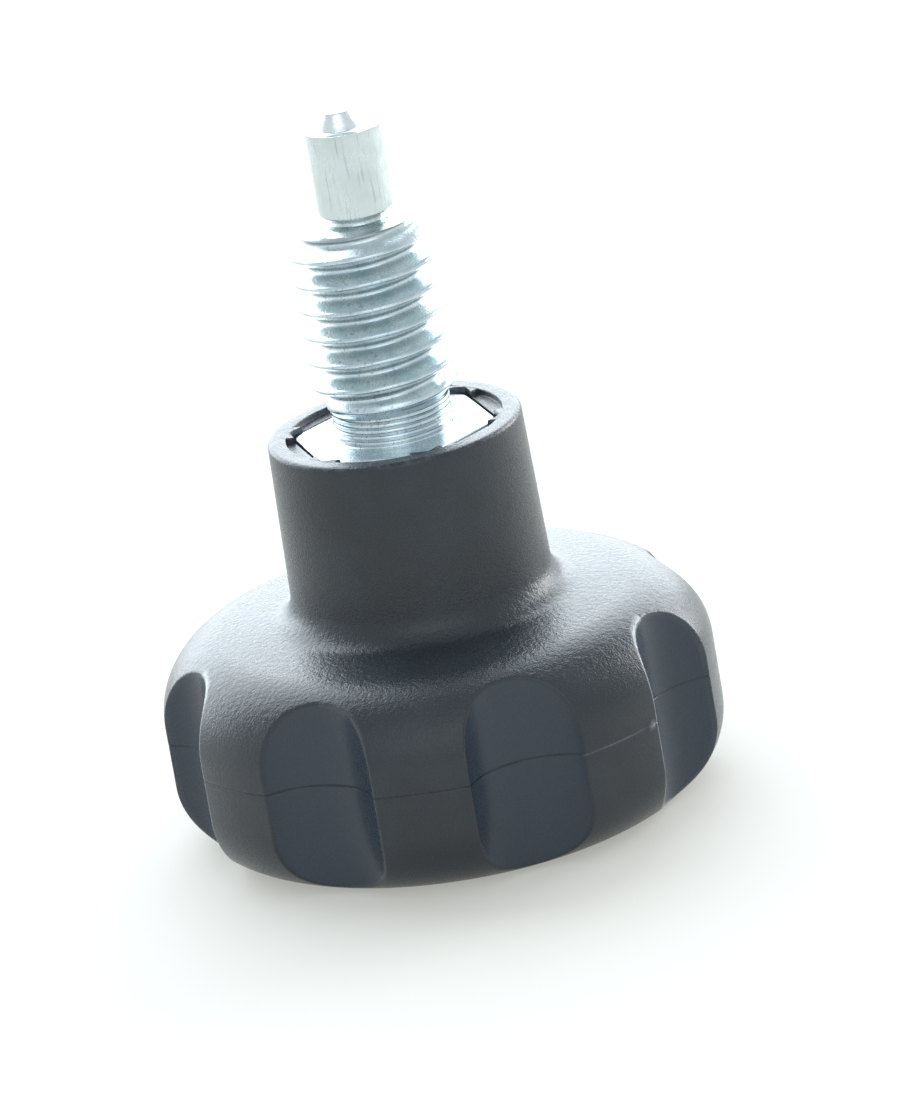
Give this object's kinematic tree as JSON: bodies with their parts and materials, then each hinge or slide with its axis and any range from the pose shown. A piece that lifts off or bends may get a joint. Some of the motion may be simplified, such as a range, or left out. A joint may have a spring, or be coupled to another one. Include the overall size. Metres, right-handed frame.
{
  "type": "fluted clamping knob",
  "caption": "Plastic clamping knob with a fluted grip, a round boss and a fixed threaded steel stud that ends in a plain dog point.",
  "frame": {"origin": "centre of the grip's flat rest face", "axes": "+Z along the stud, from the rest face towards the nib; a flute and a corner of the hexagonal head lie on -Y"},
  "size_m": [0.0284, 0.0284, 0.0384],
  "materials": {
    "knob_plastic": "dark blue-grey moulded plastic, finely spark-eroded, smoother in the flutes",
    "stud_zinc": "pale blue zinc plating with small pits and scratches"
  },
  "bodies": {
    "root": {"knob": "knob_plastic", "stud": "stud_zinc"}
  },
  "joints": []
}
